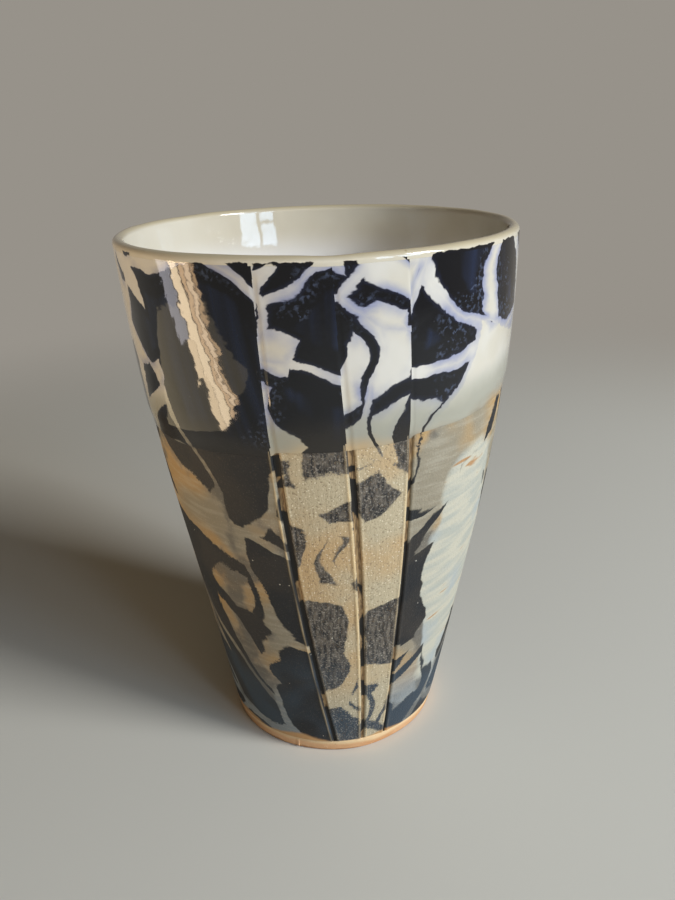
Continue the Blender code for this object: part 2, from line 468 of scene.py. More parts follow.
left_ridge = SEAMS["left"]["ridge"] * raised(RIDGE_AT, HEIGHT / 2, 2.0)
print("a ridge beside the left seam at half height is", round(left_ridge / MM, 2), "mm high")

# %% The three slabs
WALL_ROWS = 150
WRAP_COLUMNS = 150
STRIP_COLUMNS = 34
WALL_FOOT = BASE_THICKNESS + 0.3 * MM
SLAB_TOP = LIP_CENTRE
NEAR_SHARE = 0.55  # the finger pushed up less clay to the right of a seam than to its left


def wall_slab(name, left, right, columns, turns=0):
    """A slab from one seam to the next, each edge pushed up as its seam says. How far up a ridge
    each point is stays with the piece, because the slip wears off a ridge and the material also
    paints a highlight there."""
    slab = flat_slab(name, columns, WALL_ROWS)

    def along(column, up):
        """The height of a point, the angle where its row starts, its reach and the row's length."""
        height = between(WALL_FOOT, SLAB_TOP, up)
        wander = stray(height, columns)
        start = seam_angle(left, height)
        start += round_the_wall(seam_width(left, height) / 2 + wander, height)
        end = seam_angle(right, height) + 360 * turns
        end -= round_the_wall(seam_width(right, height) / 2 - wander, height)
        length = math.radians(end - start) * clay_radius(height)
        return height, start, station(column, columns, length), length

    def ridge(column, up):
        """How high the ridges stand at a point."""
        height, start, reach, length = along(column, up)
        at_start = NEAR_SHARE * SEAMS[left]["ridge"] * raised(reach, height, 1.0)
        return at_start + SEAMS[right]["ridge"] * raised(length - reach, height, 2.0)

    def place(column, up, into):
        """Where a point of the slab lies on the true form."""
        height, start, reach, length = along(column, up)
        depth = rounding(reach) + rounding(length - reach) - ridge(column, up)
        depth = between(depth, wall_thickness(height), into)
        return on_turn(start + round_the_wall(reach, height), clay_radius(height) - depth, height)

    worn = slab.data.attributes.new("ridge", "FLOAT", "POINT")
    for vertex in slab.data.vertices:
        column, up, into = shares(vertex, columns)
        worn.data[vertex.index].value = ridge(column, up) / MM
    wrap(slab, columns, place)
    finish_mesh(slab)
    return slab


wall_wrap = wall_slab("wall_wrap_clay", "right", "left", WRAP_COLUMNS, turns=1)
wall_strip_left = wall_slab("wall_strip_left_clay", "left", "middle", STRIP_COLUMNS)
wall_strip_right = wall_slab("wall_strip_right_clay", "middle", "right", STRIP_COLUMNS)

# %% [markdown]
# ## Slip in the seams and under the wall
# Slip is clay stirred with water to a paste, and it is the potter's glue. It was squeezed up
# between the slabs and wiped back with a finger, so it lies a little below the wall's face and
# keeps the drag marks. It is a narrow slab of its own, hollow in the middle and rough along it.
# The ring of slip under the wall is the same thing, turned: a circle extruded round a small
# section, with lumps where it was pressed out.

# %% Slip in the seams
SLIP_COLUMNS = 8
SLIP_FILL = 0.96  # share of the gap that the slip fills
SLIP_RECESS = 0.42 * MM
SLIP_HOLLOW = 0.35  # how much less it is recessed at its edges than in its middle
SLIP_DRAG = 0.07 * MM
SLIP_DRAG_LENGTH = 2.2 * MM
SLIP_DRAG_MARKS = 1.7  # drag marks across half the slip


def seam_slip(seam):
    """The slip in one seam, from edge to edge of the slabs beside it."""
    slip = flat_slab("seam_slip_" + seam + "_clay", SLIP_COLUMNS, WALL_ROWS)

    def place(column, up, into):
        """Where a point of the slip lies on the true form."""
        height = between(WALL_FOOT, SLAB_TOP, up)
        width = seam_width(seam, height) * SLIP_FILL
        off = (column / SLIP_COLUMNS - 0.5) * 2
        hollow = SLIP_RECESS * (1 - SLIP_HOLLOW * off**2)
        mark = (off * SLIP_DRAG_MARKS, height / SLIP_DRAG_LENGTH, SEAMS[seam]["foot"])
        face = hollow + SLIP_DRAG * noise.noise(Vector(mark))
        depth = between(face, wall_thickness(height) - CLEARANCE / 4, into)
        across = off * width / 2 + stray(height, STRIP_COLUMNS)
        angle = seam_angle(seam, height) + round_the_wall(across, height)
        return on_turn(angle, clay_radius(height) - depth, height)

    wrap(slip, SLIP_COLUMNS, place)
    finish_mesh(slip)
    return slip


seam_slips = {seam: seam_slip(seam) for seam in SEAMS}

# %% The ring of slip on the base
def turned(name, profile, sides):
    """A circle of the profile's first radius, extruded from point to point of the profile."""
    deselect()
    radius, height = profile[0]
    bpy.ops.mesh.primitive_circle_add(vertices=sides, radius=radius, location=(0, 0, height))
    piece = new_piece(name)
    edit(piece, "EDGE")
    bpy.ops.mesh.select_all(action="SELECT")
    for next_radius, next_height in profile[1:]:
        bpy.ops.mesh.extrude_region_move(
            TRANSFORM_OT_translate={"value": (0, 0, next_height - height)}
        )
        grow = next_radius / radius
        bpy.ops.transform.resize(value=(grow, grow, 1), center_override=(0, 0, next_height))
        radius, height = next_radius, next_height
    return piece


RING_SIDES = 240
RING_GAP = 0.02 * MM
RING_RECESS = 0.16 * MM
RING_CROWN = 0.1 * MM
RING_LUMP = 0.12 * MM
RING_LUMP_LENGTH = 3 * MM

ring_low = BASE_THICKNESS + RING_GAP
ring_high = WALL_FOOT - RING_GAP
ring_outer = clay_radius(ring_low) - RING_RECESS
ring_inner = clay_radius(ring_low) - WALL
ring_section = [
    (ring_inner, ring_low),
    (ring_outer - RING_CROWN, ring_low),
    (ring_outer, (ring_low + ring_high) / 2),
    (ring_outer - RING_CROWN, ring_high),
    (ring_inner, ring_high),
    (ring_inner, ring_low),
]
ring = turned("base_joint_slip_clay", ring_section, RING_SIDES)
bpy.ops.mesh.select_all(action="SELECT")
bpy.ops.mesh.remove_doubles(threshold=0.001 * MM)
done()
for vertex in ring.data.vertices:
    if vertex.co.xy.length > ring_outer - RING_CROWN / 2:
        vertex.co.xy *= 1 - RING_LUMP / ring_outer * soft_noise(vertex.co / RING_LUMP_LENGTH)
shape_by_hand(ring)
finish_mesh(ring)

# %% [markdown]
# ## The liner glaze
# The inside was filled with glaze and poured out, and the lip got its coat with it. Glaze follows
# the clay at an even thickness, rounds the lip and softens the corner at the floor, where it pools.
# A turned skin is right for this: a circle under the lip's outer edge is extruded up over the lip,
# down the inside and across the floor, and merged at the centre. Solidify then gives the skin its
# thickness on the clay's side.

# %% The liner glaze
LINER_SIDES = 216
LIP_POINTS = 14
LINER_ROWS = 44
CORNER_RADIUS = 6 * MM
CORNER_POINTS = 10
FLOOR_RINGS = 7
SKIRT = 0.42 * MM  # how far it comes down outside the lip
LINER_SHARE = 0.9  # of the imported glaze's thickness, so that it stays clear of the clay

lip_reach = LIP_RADIUS + GLAZE_FACE
lip_middle = clay_radius(LIP_CENTRE) - LIP_RADIUS
liner_profile = [(clay_radius(LIP_CENTRE - SKIRT) + GLAZE_FACE, LIP_CENTRE - SKIRT)]
for point in range(LIP_POINTS + 1):
    turn = math.pi * point / LIP_POINTS
    radius = lip_middle + lip_reach * math.cos(turn)
    liner_profile.append((radius, LIP_CENTRE + lip_reach * math.sin(turn)))
corner_top = BASE_THICKNESS + CORNER_RADIUS
for row in range(1, LINER_ROWS + 1):
    height = between(LIP_CENTRE, corner_top, row / LINER_ROWS)
    liner_profile.append((clay_radius(height) - wall_thickness(height) - GLAZE_FACE, height))
floor_height = BASE_THICKNESS + GLAZE_FACE
corner_reach = CORNER_RADIUS - GLAZE_FACE
for point in range(1, CORNER_POINTS + 1):
    turn = math.pi / 2 * point / CORNER_POINTS
    height = corner_top - corner_reach * math.sin(turn)
    from_wall = CORNER_RADIUS - corner_reach * math.cos(turn)
    liner_profile.append((clay_radius(height) - WALL - from_wall, height))
floor_radius = liner_profile[-1][0]
for step in range(1, FLOOR_RINGS + 1):
    liner_profile.append((floor_radius * (1 - step / (FLOOR_RINGS + 0.5)), floor_height))
print("the liner's profile has", len(liner_profile), "points")

# %% The turned skin
liner = turned("liner_glaze_coat", liner_profile, LINER_SIDES)
bpy.ops.mesh.merge(type="CENTER")
bpy.ops.mesh.select_all(action="SELECT")
bpy.ops.mesh.normals_make_consistent(inside=False)
done()
shape_by_hand(liner)
thicken(liner, GLAZE * LINER_SHARE)
finish_mesh(liner, 60)

# %% [markdown]
# ## The outer glaze
# The rim was dipped upside down, and the cup was held a little aslant, so the glaze line climbs to
# the right. Glaze hides the seams but sinks into them, which leaves a shallow furrow with soft
# lips. At its lower edge it thins out, so that the line shows as a change from wet to dry.
# Three sheets, one for each slab, are wrapped as the clay was and joined, so that the columns
# crowd at the seams where the furrows are. The merged sheet gets its thickness from Solidify, and
# its lower edge is picked out and bevelled.

# %% The outer glaze
GLAZE_ROWS = 64
GLAZE_COLUMNS = 230
GLAZE_LINE = HEIGHT - DIP_DEPTH
DIP_TILT = 2.6 * MM
DIP_WANDER = 0.45 * MM
DIP_WAVES = 2.3
GLAZE_TOP = LIP_CENTRE - SKIRT - 0.01 * MM
FURROW = 0.13 * MM
FURROW_SPREAD = 0.55 * MM
FURROW_LIP = 0.05 * MM
FURROW_END = 3 * MM  # under the glaze's top the furrow fades out over the next length
FURROW_FADE = 2.5 * MM
EDGE_FEATHER = 4.5 * MM
EDGE_THICKNESS = 0.14 * MM
EDGE_BEVEL = 0.13 * MM


def glaze_line(angle):
    """Height at which the glaze ends."""
    around = on_turn(angle, 1.0, 0.0)
    return GLAZE_LINE + DIP_TILT * around.x + DIP_WANDER * noise.noise(around * DIP_WAVES)


def furrow(reach, seam):
    """How far the glaze sinks at this distance from the middle of a seam."""
    width = SEAMS[seam]["width"]
    depth = FURROW * bell(reach, FURROW_SPREAD) - FURROW_LIP * bell(reach - width, RIDGE_SPREAD)
    return depth * width / MM


def glaze_sheet(name, left, right, columns, turns=0):
    """The outer face of the glaze over one slab, from seam middle to seam middle."""
    glaze = sheet(name, columns, GLAZE_ROWS)

    def place(column, up, into):
        """Where a point of the glaze lies on the true form."""
        start = seam_angle(left, GLAZE_LINE)
        end = seam_angle(right, GLAZE_LINE) + 360 * turns
        line = glaze_line(between(start, end, column / columns))
        height = between(line, GLAZE_TOP, up)
        start = seam_angle(left, height)
        end = seam_angle(right, height) + 360 * turns
        length = math.radians(end - start) * clay_radius(height)
        reach = station(column, columns, length)
        sink = furrow(reach, left) + furrow(length - reach, right)
        sink *= 1 - eased((height - GLAZE_TOP + FURROW_END) / FURROW_FADE)
        sink += (GLAZE_FACE - EDGE_THICKNESS) * (1 - eased((height - line) / EDGE_FEATHER))
        radius = clay_radius(height) + GLAZE_FACE - sink
        return on_turn(start + round_the_wall(reach, height), radius, height)

    wrap(glaze, columns, place)
    return glaze


outer_glaze = glaze_sheet("outer_glaze_coat", "right", "left", GLAZE_COLUMNS, turns=1)
over_strips = [
    glaze_sheet("glaze_over_left_strip", "left", "middle", STRIP_COLUMNS),
    glaze_sheet("glaze_over_right_strip", "middle", "right", STRIP_COLUMNS),
]
print("the glaze ends between", *[round(glaze_line(turn) / MM, 1) for turn in (-90, 90)], "mm")

# %% Joining the sheets of glaze
choose(outer_glaze)
for strip in over_strips:
    strip.select_set(True)
bpy.ops.object.join()
edit(outer_glaze, "VERT")
bpy.ops.mesh.select_all(action="SELECT")
bpy.ops.mesh.remove_doubles(threshold=0.02 * MM)
bpy.ops.mesh.normals_make_consistent(inside=False)
done()
thicken(outer_glaze, GLAZE)


def at_glaze_line(middle, edge):
    """The outer edge of the glaze's lower rim: it turns sharply from the wall to a level face."""
    if middle.z > GLAZE_LINE + 5 * MM or len(edge.link_faces) != 2:
        return False
    beside_level = any(abs(face.normal.z) > 0.8 for face in edge.link_faces)
    outside = middle.xy.length > clay_radius(middle.z) + CLEARANCE / 2
    return beside_level and outside and edge.calc_face_angle(0) > 1.0


edit(outer_glaze, "EDGE")
print("edges at the glaze line:", pick(outer_glaze, at_glaze_line, "edges"))
bpy.ops.mesh.bevel(offset=EDGE_BEVEL, segments=3, affect="EDGES")
done()
finish_mesh(outer_glaze, 60)

# %% [markdown]
# ## A flat map of the slabs
# The slip was brushed on while the slabs lay flat, so the pattern stops at the seams and starts
# again on the next slab. A pattern in space would run straight across them. So each piece gets a
# UV map in real metres: round the slab from its own middle, and up it. The slabs are set one metre
# apart in the map, which gives each its own piece of the pattern, and tells a material which slab
# it is on. The glaze takes the map of the slab that it covers, and the slip in a seam that of the
# slab beside it, because the brush ran on over the seam.

# %% A flat map of the slabs
SLAB_MIDDLES = {"wrap": 184.0, "left": 0.0, "right": 15.0}
SLAB_SHIFTS = {"wrap": 0.0, "left": 1.0, "right": 2.0}


def slab_at(angle, height):
    """The slab under a place on the wall."""
    if angle < seam_angle("left", height) or angle > seam_angle("right", height):
        return "wrap"
    return "left" if angle < seam_angle("middle", height) else "right"


def map_slabs(piece, slab=None):
    """Writes the UV map of a piece. Without a name, each face finds its own slab."""
    mesh = piece.data
    layer = mesh.uv_layers.new(name="slab")
    for face in mesh.polygons:
        name = slab or slab_at(angle_of(face.center), face.center.z)
        middle = SLAB_MIDDLES[name]
        for corner in face.loop_indices:
            point = mesh.vertices[mesh.loops[corner].vertex_index].co
            off = (angle_of(point) - middle + 180) % 360 - 180
            length = math.radians(off) * clay_radius(point.z)
            layer.uv[corner].vector = (length + SLAB_SHIFTS[name], point.z)


map_slabs(wall_wrap, "wrap")
map_slabs(wall_strip_left, "left")
map_slabs(wall_strip_right, "right")
for seam, slab in (("left", "left"), ("middle", "right"), ("right", "wrap")):
    map_slabs(seam_slips[seam], slab)
for piece in (ring, outer_glaze, liner):
    map_slabs(piece)
for slab, shift in SLAB_SHIFTS.items():
    print("the", slab, "slab lies", shift, "m along the map")

# %% [markdown]
# ## Building materials
# A material is a graph of nodes. It could be wired by hand in the shader editor, or each node could
# be made, set and linked in four lines. Here one function adds a node: its keywords are the node's
# own settings, and its dictionary gives the sockets, each a value, a hex colour or the node that
# feeds it. A mix is of colours here, a range eases and a maths node multiplies, unless the call
# says otherwise. The rest of a material is its graph, read from top to bottom.
#
# Sockets without a name of their own go by their number. Those of a maths node are 0, 1 and 2. A
# range takes its value at 0, starts at 1, ends at 2 and goes from 3 to 4, which are 0 and 1 unless
# given. A mix takes its share at 0 and its colours at 6 and 7, of which a share of 1 shows the last.

# %% Helpers for materials
BUMP = "ShaderNodeBump"
MAPPING = "ShaderNodeMapping"
MATH = "ShaderNodeMath"
MIX = "ShaderNodeMix"
NOISE = "ShaderNodeTexNoise"
RANGE = "ShaderNodeMapRange"
SPLIT = "ShaderNodeSeparateXYZ"
VECTOR = "ShaderNodeVectorMath"
VORONOI = "ShaderNodeTexVoronoi"
USUAL = {  # the settings of a kind of node, unless a call says otherwise
    MATH: {"operation": "MULTIPLY"},
    MIX: {"data_type": "RGBA"},
    RANGE: {"interpolation_type": "SMOOTHSTEP"},
}


def colour(code):
    """A hex colour as written for a screen, in linear light."""
    channels = [int(code[start : start + 2], 16) / 255 for start in (1, 3, 5)]
    linear = [c / 12.92 if c <= 0.04045 else ((c + 0.055) / 1.055) ** 2.4 for c in channels]
    return (*linear, 1.0)


def feed(tree, socket, value):
    """Gives a socket a value, a hex colour, or the node or output that feeds it."""
    if isinstance(value, bpy.types.Node):
        value = next(output for output in value.outputs if output.enabled)
    if isinstance(value, bpy.types.NodeSocket):
        tree.links.new(value, socket)
    else:
        socket.default_value = colour(value) if isinstance(value, str) else value


def add(tree, kind, sockets=None, **settings):
    """Adds a node with the usual settings of its kind and its own, and feeds its sockets."""
    made = tree.nodes.new(kind)
    for name, value in {**USUAL.get(kind, {}), **settings}.items():
        setattr(made, name, value)
    for name, value in (sockets or {}).items():
        feed(tree, made.inputs[name], value)
    return made


def new_material(name, roughness, ior=1.5):
    """A material with an empty Principled surface. Returns it and its tree."""
    material = bpy.data.materials.new(name)
    material.use_nodes = True
    tree = material.node_tree
    shader = tree.nodes["Principled BSDF"]
    shader.inputs["Roughness"].default_value = roughness
    shader.inputs["IOR"].default_value = ior
    return material, tree


def finish_material(material, tone, relief, depth):
    """Feeds a surface its colour and a relief of this depth, and reports the material."""
    tree = material.node_tree
    shader = tree.nodes["Principled BSDF"]
    feed(tree, shader.inputs["Base Color"], tone)
    feed(tree, shader.inputs["Normal"], add(tree, BUMP, {"Distance": depth, "Height": relief}))
    print(material.name, len(tree.nodes), "nodes")


print("mid grey in linear light:", round(colour("#808080")[0], 3))

# %% [markdown]
# ## The slip decoration
# Dark slip lies on the pale clay in bold patches, and pale bands run through them, as strips of
# paper that kept the slip off. It could be painted on an image, but that would blur close up. This
# is a plain all-over pattern from textures: a Voronoi texture cuts the slab into patches, noises
# bend their sides, some are left bare and some get a pale hole. On the wide slab the patches nearly
# touch. On the narrow slabs they are smaller, and on their bare clay they stand apart.
#
# The result is a distance in millimetres from the nearest edge of the slip, positive inside it, so
# that each finish can draw its own edge: a soft blue bleed under glaze, a dry one on bare clay.

# %% Places for the pattern
STRIP_MAP = (400.0, 600.0)  # the narrow slabs lie from the second of these on, in millimetres


def flat_place(tree):
    """The flat map of the slab, in millimetres."""
    flat = add(tree, "ShaderNodeUVMap", uv_map="slab")
    return add(tree, VECTOR, {0: flat, 3: 1 / MM}, operation="SCALE")


def object_place(tree):
    """The place on the cup in millimetres, the same for every piece."""
    place = add(tree, "ShaderNodeTexCoord")
    return add(tree, VECTOR, {0: place.outputs["Object"], 3: 1 / MM}, operation="SCALE")


def on_strips(tree, place):
    """1 on the narrow slabs and 0 on the wide one."""
    parts = add(tree, SPLIT, {0: place})
    sockets = {0: parts, 1: STRIP_MAP[0], 2: STRIP_MAP[1]}
    return add(tree, RANGE, sockets, interpolation_type="LINEAR")


print("the narrow slabs lie from", STRIP_MAP[1], "mm on along the map")

# %% Torn patches
LEFT_OUT = -60.0  # millimetres inside, for a patch that is left out


def bent(tree, place, size, amount):
    """The place pushed about by a noise of this size and amount, in millimetres."""
    waves = add(tree, NOISE, {"Vector": place, "Scale": 1 / size, "Detail": 1.0})
    sockets = {0: waves.outputs["Color"], 1: (amount,) * 3, 2: (-amount / 2,) * 3}
    push = add(tree, VECTOR, sockets, operation="MULTIPLY_ADD")
    return add(tree, VECTOR, {0: place, 1: push}, operation="ADD")


def patches(tree, place, size, turn, left_out, gap):
    """Millimetres inside the nearest patch, from patches of about this width and height."""
    scale = (1 / size[0], 1 / size[1], 0.0)
    sockets = {"Vector": place, "Rotation": (0.0, 0.0, math.radians(turn)), "Scale": scale}
    cells = {"Vector": add(tree, MAPPING, sockets), "Scale": 1.0, "Randomness": 0.95}
    edge = add(tree, VORONOI, cells, feature="DISTANCE_TO_EDGE", voronoi_dimensions="2D")
    cell = add(tree, VORONOI, cells, voronoi_dimensions="2D")
    reach = add(tree, MATH, {0: edge, 1: sum(size) / 2})
    inside = add(tree, MATH, {0: reach, 1: gap}, operation="SUBTRACT")
    chance = add(tree, "ShaderNodeSeparateColor", {0: cell.outputs["Color"]})
    bare = add(tree, MATH, {0: chance, 1: left_out}, operation="LESS_THAN")
    return add(tree, MATH, {0: bare, 1: LEFT_OUT, 2: inside}, operation="MULTIPLY_ADD")


circumference = 2 * math.pi * clay_radius(GLAZE_LINE)
print("the wall is", round(circumference / MM), "mm round at the glaze line")

# %% Pale panels
PANEL_COUNT = 2
PANEL_ANGLE = 54.0  # where round the cup the first panel's middle is
PANEL_HEIGHT = 47.0  # how high that middle is, in millimetres, as the rest of the pattern
PANEL_HALF = (10.0, 27.0)  # half its width and half its height
PANEL_RADIUS = clay_radius(PANEL_HEIGHT * MM) / MM
NO_PANEL = -90.0  # millimetres inside, on the slabs that have none


def pale_panels(tree, place, near):
    """Millimetres inside the nearest of the pale brushed panels on the wide slab."""
    ragged = bent(tree, bent(tree, near, 22.0, 12.0), 4.0, 3.0)
    parts = add(tree, SPLIT, {0: ragged})
    front = add(tree, MATH, {0: parts.outputs[1], 1: -1.0})
    angle = add(tree, MATH, {0: parts, 1: front}, operation="ARCTAN2")
    turned_back = add(tree, MATH, {0: angle, 1: math.radians(PANEL_ANGLE)}, operation="SUBTRACT")
    half = math.pi / PANEL_COUNT
    across = add(tree, MATH, {0: turned_back, 1: half, 2: -half}, operation="WRAP")
    up = add(tree, MATH, {0: parts.outputs[2], 1: PANEL_HEIGHT}, operation="SUBTRACT")
    place_in = add(tree, "ShaderNodeCombineXYZ", {0: across, 1: up})
    squashed = (PANEL_RADIUS / PANEL_HALF[0], 1 / PANEL_HALF[1], 0.0)
    rounded = add(tree, VECTOR, {0: place_in, 1: squashed}, operation="MULTIPLY")
    reach = add(tree, VECTOR, {0: rounded}, operation="LENGTH")
    sockets = {0: reach, 1: -PANEL_HALF[0], 2: PANEL_HALF[0]}
    inside = add(tree, MATH, sockets, operation="MULTIPLY_ADD")
    flat_parts = add(tree, SPLIT, {0: place})
    other_slab = add(tree, MATH, {0: flat_parts, 1: sum(STRIP_MAP) / 2}, operation="GREATER_THAN")
    return add(tree, MATH, {0: other_slab, 1: NO_PANEL, 2: inside}, operation="MULTIPLY_ADD")


print("a panel covers", round(2 * math.degrees(PANEL_HALF[0] / PANEL_RADIUS)), "degrees of the wall")

# %% The whole pattern
PATTERN_START = (12.0, 91.0, 0.0)
LARGE_PATCH = (27.0, 35.0)
SMALL_PATCH = (12.0, 19.0)
STRIP_SCALE = 1.55  # the patches of the narrow slabs are smaller by this factor
BAND_CENTRE = (38.0, 140.0, 0.0)  # the pale bands are wide arcs round this place
BAND_SPACING = 33.0
BAND_HALF = 1.4


def slip_design(tree, place, panel):
    """Millimetres inside the dark slip, less than 0 on the pale ground."""
    on_strip = on_strips(tree, place)
    finer = add(tree, MATH, {0: on_strip, 1: STRIP_SCALE - 1, 2: 1.0}, operation="MULTIPLY_ADD")
    start = add(tree, VECTOR, {0: place, 1: PATTERN_START}, operation="ADD")
    scaled = add(tree, VECTOR, {0: start, 3: finer}, operation="SCALE")
    curved = bent(tree, bent(tree, scaled, 28.0, 22.0), 7.0, 2.0)
    ragged = bent(tree, bent(tree, curved, 3.4, 1.1), 1.1, 0.8)
    height = add(tree, SPLIT, {0: place}).outputs[1]
    low = add(tree, RANGE, {0: height, 1: 90.0, 2: 72.0})
    apart = add(tree, MATH, {0: low, 1: on_strip})
    gap = add(tree, MATH, {0: apart, 1: 2.2, 2: 1.2}, operation="MULTIPLY_ADD")
    large = patches(tree, ragged, LARGE_PATCH, 24.0, 0.18, gap)
    small = patches(tree, ragged, SMALL_PATCH, -31.0, 0.6, 1.8)
    outside = add(tree, MATH, {0: large, 1: -1.0, 2: -2.5}, operation="MULTIPLY_ADD")
    leaves = add(tree, MATH, {0: outside, 1: small}, operation="MINIMUM")
    hole = add(tree, MATH, {0: small, 1: -1.0})
    cut = add(tree, MATH, {0: large, 1: hole}, operation="MINIMUM")
    both = add(tree, MATH, {0: cut, 1: leaves}, operation="MAXIMUM")
    from_centre = add(tree, VECTOR, {0: ragged, 1: BAND_CENTRE}, operation="ADD")
    reach = add(tree, VECTOR, {0: from_centre}, operation="LENGTH")
    band = add(tree, MATH, {0: reach, 1: BAND_SPACING}, operation="PINGPONG")
    beside = add(tree, MATH, {0: band, 1: BAND_HALF}, operation="SUBTRACT")
    crossed = add(tree, MATH, {0: both, 1: beside}, operation="MINIMUM")
    true_size = add(tree, MATH, {0: crossed, 1: finer}, operation="DIVIDE")
    clear = add(tree, MATH, {0: panel, 1: -1.0})
    return add(tree, MATH, {0: true_size, 1: clear}, operation="MINIMUM")


print("large patches round the wide slab:", round(circumference / MM / LARGE_PATCH[0]))

# %% [markdown]
# ## The ground between the patches
# Three pale grounds lie between the patches. The wide slab is smooth clay, grey with ochre clouds,
# the marks of wiping and a thin wash of dark slip here and there. The narrow slabs are sandy buff
# clay. The pale panels are white slip, brushed round the cup. Each could be a material of its own,
# but the glaze covers all three and has to show the same clay through its thin edge, so one
# function puts them together, and both finishes call it.

# %% Specks and marks
SPECK_CORE = 0.6  # a dot is full up to this share of its radius, and fades from there


def specks(tree, place, spacing, radius, share):
    """Small dots: about one in every spacing of millimetres, in this share of the places."""
    cell = add(tree, VORONOI, {"Vector": place, "Scale": 1 / spacing})
    size = add(tree, MATH, {0: cell, 1: spacing})
    dot = add(tree, RANGE, {0: size, 1: radius, 2: radius * SPECK_CORE})
    chance = add(tree, "ShaderNodeSeparateColor", {0: cell.outputs["Color"]})
    chosen = add(tree, MATH, {0: chance, 1: share}, operation="LESS_THAN")
    return add(tree, MATH, {0: dot, 1: chosen})


def stretched(tree, place, size, turn=0.0, detail=2.0):
    """A noise of marks of this length and width in millimetres, turned by so many radians."""
    scale = tuple(1 / length for length in size)
    sockets = {"Vector": place, "Rotation": (0.0, 0.0, turn), "Scale": scale}
    return add(tree, NOISE, {"Vector": add(tree, MAPPING, sockets), "Scale": 1.0, "Detail": detail})


print("the edge of a speck takes up", round(1 - SPECK_CORE, 2), "of its radius")

# %% Smooth clay and white slip
STROKE = (20.0, 1.9, 1.0)  # millimetres, along and across the brush
STROKE_TURN = math.radians(-17)


def smooth_clay(tree, place, near, cloud, at_foot):
    """The clay of the wide slab."""
    swirls = {"Vector": near, "Scale": 1 / 19, "Detail": 2.0, "Distortion": 0.6}
    ochre = add(tree, RANGE, {0: add(tree, NOISE, swirls), 1: 0.4, 2: 0.6})
    greyed = add(tree, RANGE, {0: cloud, 1: 0.5, 2: 0.68})
    wipes = stretched(tree, place, (9.0, 1.3, 1.0), 0.25, 3.0)
    wipes = add(tree, RANGE, {0: wipes, 1: 0.42, 2: 0.7, 4: 0.28})
    thin_wash = add(tree, RANGE, {0: cloud, 1: 0.53, 2: 0.61, 4: 0.6})
    clay = add(tree, MIX, {0: ochre, 6: "#8F8672", 7: "#AF8F5F"})
    for mask, tone in (
        (greyed, "#86837B"),
        (at_foot, "#868C8D"),
        (wipes, "#BDB6A4"),
        (thin_wash, "#4C463C"),
    ):
        clay = add(tree, MIX, {0: mask, 6: clay, 7: tone})
    return clay


def white_slip(tree, place, cloud):
    """The brushed white slip of the panels, with the clay where the brush missed."""
    sweep = stretched(tree, bent(tree, place, 60.0, 12.0), STROKE, STROKE_TURN)
    stroke = add(tree, RANGE, {0: sweep, 1: 0.36, 2: 0.62})
    cooler = add(tree, RANGE, {0: cloud, 1: 0.5, 2: 0.7})
    missed = add(tree, RANGE, {0: sweep, 1: 0.64, 2: 0.71})
    slip = add(tree, MIX, {0: stroke, 6: "#ACADA1", 7: "#C0BBA8"})
    slip = add(tree, MIX, {0: cooler, 6: slip, 7: "#A7ADAB"})
    return add(tree, MIX, {0: missed, 6: slip, 7: "#AE875D"})


print("a stroke of the brush is", STROKE[0], "mm long and", STROKE[1], "mm wide")

# %% The whole ground
FOOT_TONES = (30.0, 12.0)  # the clay's tone changes between these heights, in millimetres


def bare_ground(tree, place, near, panel):
    """The pale ground: clay of the wide slab, sandy clay of the strips, white slip in the panels."""
    height = add(tree, SPLIT, {0: place}).outputs[1]
    at_foot = add(tree, RANGE, {0: height, 1: FOOT_TONES[0], 2: FOOT_TONES[1]})
    cloud = add(tree, NOISE, {"Vector": near, "Scale": 1 / 14, "Detail": 4.0})
    smooth = smooth_clay(tree, place, near, cloud, at_foot)
    sanded = add(tree, RANGE, {0: cloud, 1: 0.35, 2: 0.68})
    sandy = add(tree, MIX, {0: sanded, 6: "#BAAC8E", 7: "#BDA076"})
    sandy = add(tree, MIX, {0: at_foot, 6: sandy, 7: "#B4A98F"})
    ground = add(tree, MIX, {0: on_strips(tree, place), 6: smooth, 7: sandy})
    in_panel = add(tree, RANGE, {0: panel, 1: -2.0, 2: -0.6})
    return add(tree, MIX, {0: in_panel, 6: ground, 7: white_slip(tree, place, cloud)})


print("the clay's tone changes between", *FOOT_TONES, "mm above the floor")

# %% [markdown]
# ## Decorated glaze
# Glossy milky glaze over dark slip on stoneware. The slip bleeds cobalt into the wet glaze, which
# gives the eye deep navy blacks, soft lavender edges and a mirror-like shine with a slight
# orange-peel. A clear layer over painted clay would be the true build, but it needs light to pass
# twice through a thin skin and is slow and noisy. So the colours under the glaze are mixed for
# an opaque one with a low roughness. Towards the dip line it runs thin: it greys, and then the
# clay shows.

# %% Decorated glaze
decorated, tree = new_material("cream_glaze_over_dark_slip", 0.05, 1.52)
place = flat_place(tree)
near = object_place(tree)
panel = pale_panels(tree, place, near)
depth = slip_design(tree, place, panel)
cloud = add(tree, NOISE, {"Vector": near, "Scale": 1 / 13, "Detail": 3.0})
parts = add(tree, SPLIT, {0: near})
tilt = DIP_TILT / RIM_RADIUS
level = add(tree, MATH, {0: parts, 1: -tilt, 2: parts.outputs[2]}, operation="MULTIPLY_ADD")
off = add(tree, MATH, {0: cloud, 1: 0.5}, operation="SUBTRACT")
uneven = add(tree, MATH, {0: off, 1: 12.0, 2: level}, operation="MULTIPLY_ADD")

